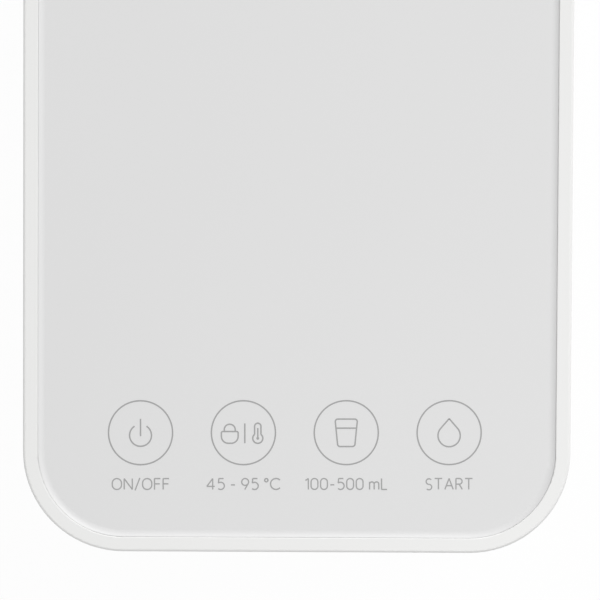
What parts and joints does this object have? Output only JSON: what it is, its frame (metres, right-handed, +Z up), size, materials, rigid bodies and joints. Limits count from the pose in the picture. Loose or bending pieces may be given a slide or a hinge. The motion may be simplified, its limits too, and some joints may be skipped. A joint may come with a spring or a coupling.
{
  "type": "hot water dispenser",
  "caption": "Countertop instant hot water dispenser with a touch panel on an overhanging head, a cup bay with drip tray, and a lift-off water tank behind.",
  "frame": {"origin": "middle of the footprint, on the plane that the feet stand on", "axes": "+X to the right of a person who faces the front, +Y to the back, +Z up"},
  "size_m": [0.15, 0.31, 0.28],
  "materials": {
    "white_abs": "satin moulded white",
    "panel_acrylic": "smooth light grey",
    "tank_copolyester": "clear, lightly smoked",
    "stainless_steel": "brushed",
    "zinc_screw": "zinc plated",
    "spring_wire": "bright drawn",
    "black_rubber": "matt",
    "grey_silicone": "matt",
    "clear_silicone": "milky",
    "grey_plastic": "fine texture",
    "white_nylon": "as moulded",
    "black_plastic": "as moulded",
    "board_green": "solder mask",
    "copper_winding": "enamelled",
    "aluminium": "extruded"
  },
  "bodies": {
    "dispenser": {"base_plate": "grey_plastic", "rubber_feet": "black_rubber", "base_screws": "zinc_screw", "body_shell": "white_abs", "chamber_screws": "zinc_screw", "cord_gland": "black_plastic", "display_module": "black_plastic", "dock_hose": "clear_silicone", "dock_seal": "grey_silicone", "flow_meter_body": "white_nylon", "flow_meter_cap": "white_nylon", "heat_sink": "aluminium", "heater_lower_cap": "white_nylon", "heater_seals": "grey_silicone", "heater_stand": "zinc_screw", "heater_tie_rods": "zinc_screw", "heater_tube": "stainless_steel", "heater_upper_cap": "white_nylon", "outlet_chamber": "white_nylon", "outlet_hose": "clear_silicone", "outlet_probe": "stainless_steel", "power_board": "board_green", "power_board_parts": "black_plastic", "pump_can": "black_plastic", "pump_cradle": "black_rubber", "pump_housing": "black_plastic", "pump_inlet_hose": "clear_silicone", "pump_stator": "copper_winding", "pump_volute": "black_plastic", "rear_cover": "white_abs", "rear_cover_screws": "zinc_screw", "reed_sensor": "black_plastic", "riser_hose": "clear_silicone", "spout_nozzle": "grey_silicone", "spout_shroud": "grey_plastic", "tank_dock": "white_nylon", "thermal_cutouts": "black_plastic", "top_bezel": "white_abs", "top_plate": "panel_acrylic", "touch_board": "board_green", "touch_springs": "spring_wire"},
    "tank": {"tank_shell": "tank_copolyester", "valve_body": "white_nylon", "valve_nut": "white_nylon", "valve_spring": "spring_wire", "valve_cage": "white_nylon", "float_rod": "white_nylon"},
    "valve": {"valve_plunger": "white_nylon"},
    "float": {"tank_float": "white_nylon"},
    "cover": {"tank_cover": "white_abs", "cover_seal": "grey_silicone", "flap_pin": "stainless_steel", "handle_pins": "stainless_steel"},
    "flap": {"fill_flap": "white_abs"},
    "handle": {"carry_handle": "white_abs"},
    "tray": {"drip_tray": "white_abs"},
    "grid": {"drip_grid": "stainless_steel"},
    "impeller": {"pump_rotor": "black_plastic"},
    "turbine": {"flow_rotor": "white_nylon"}
  },
  "joints": [
    {"name": "tank_lift", "type": "slide", "parent": "dispenser", "child": "tank", "axis": [0, 0, 1], "range_m": [0, 0.25]},
    {"name": "valve_close", "type": "slide", "parent": "tank", "child": "valve", "axis": [0, 0, 1], "range_m": [-0.004, 0], "deforming": ["valve_spring"]},
    {"name": "float_rise", "type": "slide", "parent": "tank", "child": "float", "axis": [0, 0, 1], "range_m": [0, 0.037]},
    {"name": "cover_lift", "type": "slide", "parent": "tank", "child": "cover", "axis": [0, 0, 1], "range_m": [0, 0.04]},
    {"name": "flap_hinge", "type": "hinge", "parent": "cover", "child": "flap", "pos_m": [0, 0.137, 0.2773], "axis": [-1, 0, 0], "range_deg": [0, 95]},
    {"name": "handle_hinge", "type": "hinge", "parent": "cover", "child": "handle", "pos_m": [0, 0.102, 0.2768], "axis": [-1, 0, 0], "range_deg": [0, 90]},
    {"name": "tray_slide", "type": "slide", "parent": "dispenser", "child": "tray", "axis": [0, -1, 0], "range_m": [0, 0.14]},
    {"name": "grid_lift", "type": "slide", "parent": "tray", "child": "grid", "axis": [0, 0, 1], "range_m": [0, 0.06]},
    {"name": "pump_spin", "type": "hinge", "parent": "dispenser", "child": "impeller", "pos_m": [0.046, 0.02, 0.026], "axis": [0, 1, 0], "continuous": true},
    {"name": "flow_spin", "type": "hinge", "parent": "dispenser", "child": "turbine", "pos_m": [0.046, 0.068, 0.026], "axis": [0, 1, 0], "continuous": true}
  ],
  "couplings": [
    {"joint": "valve_close", "follows": "tank_lift", "ratio": -0.016}
  ]
}
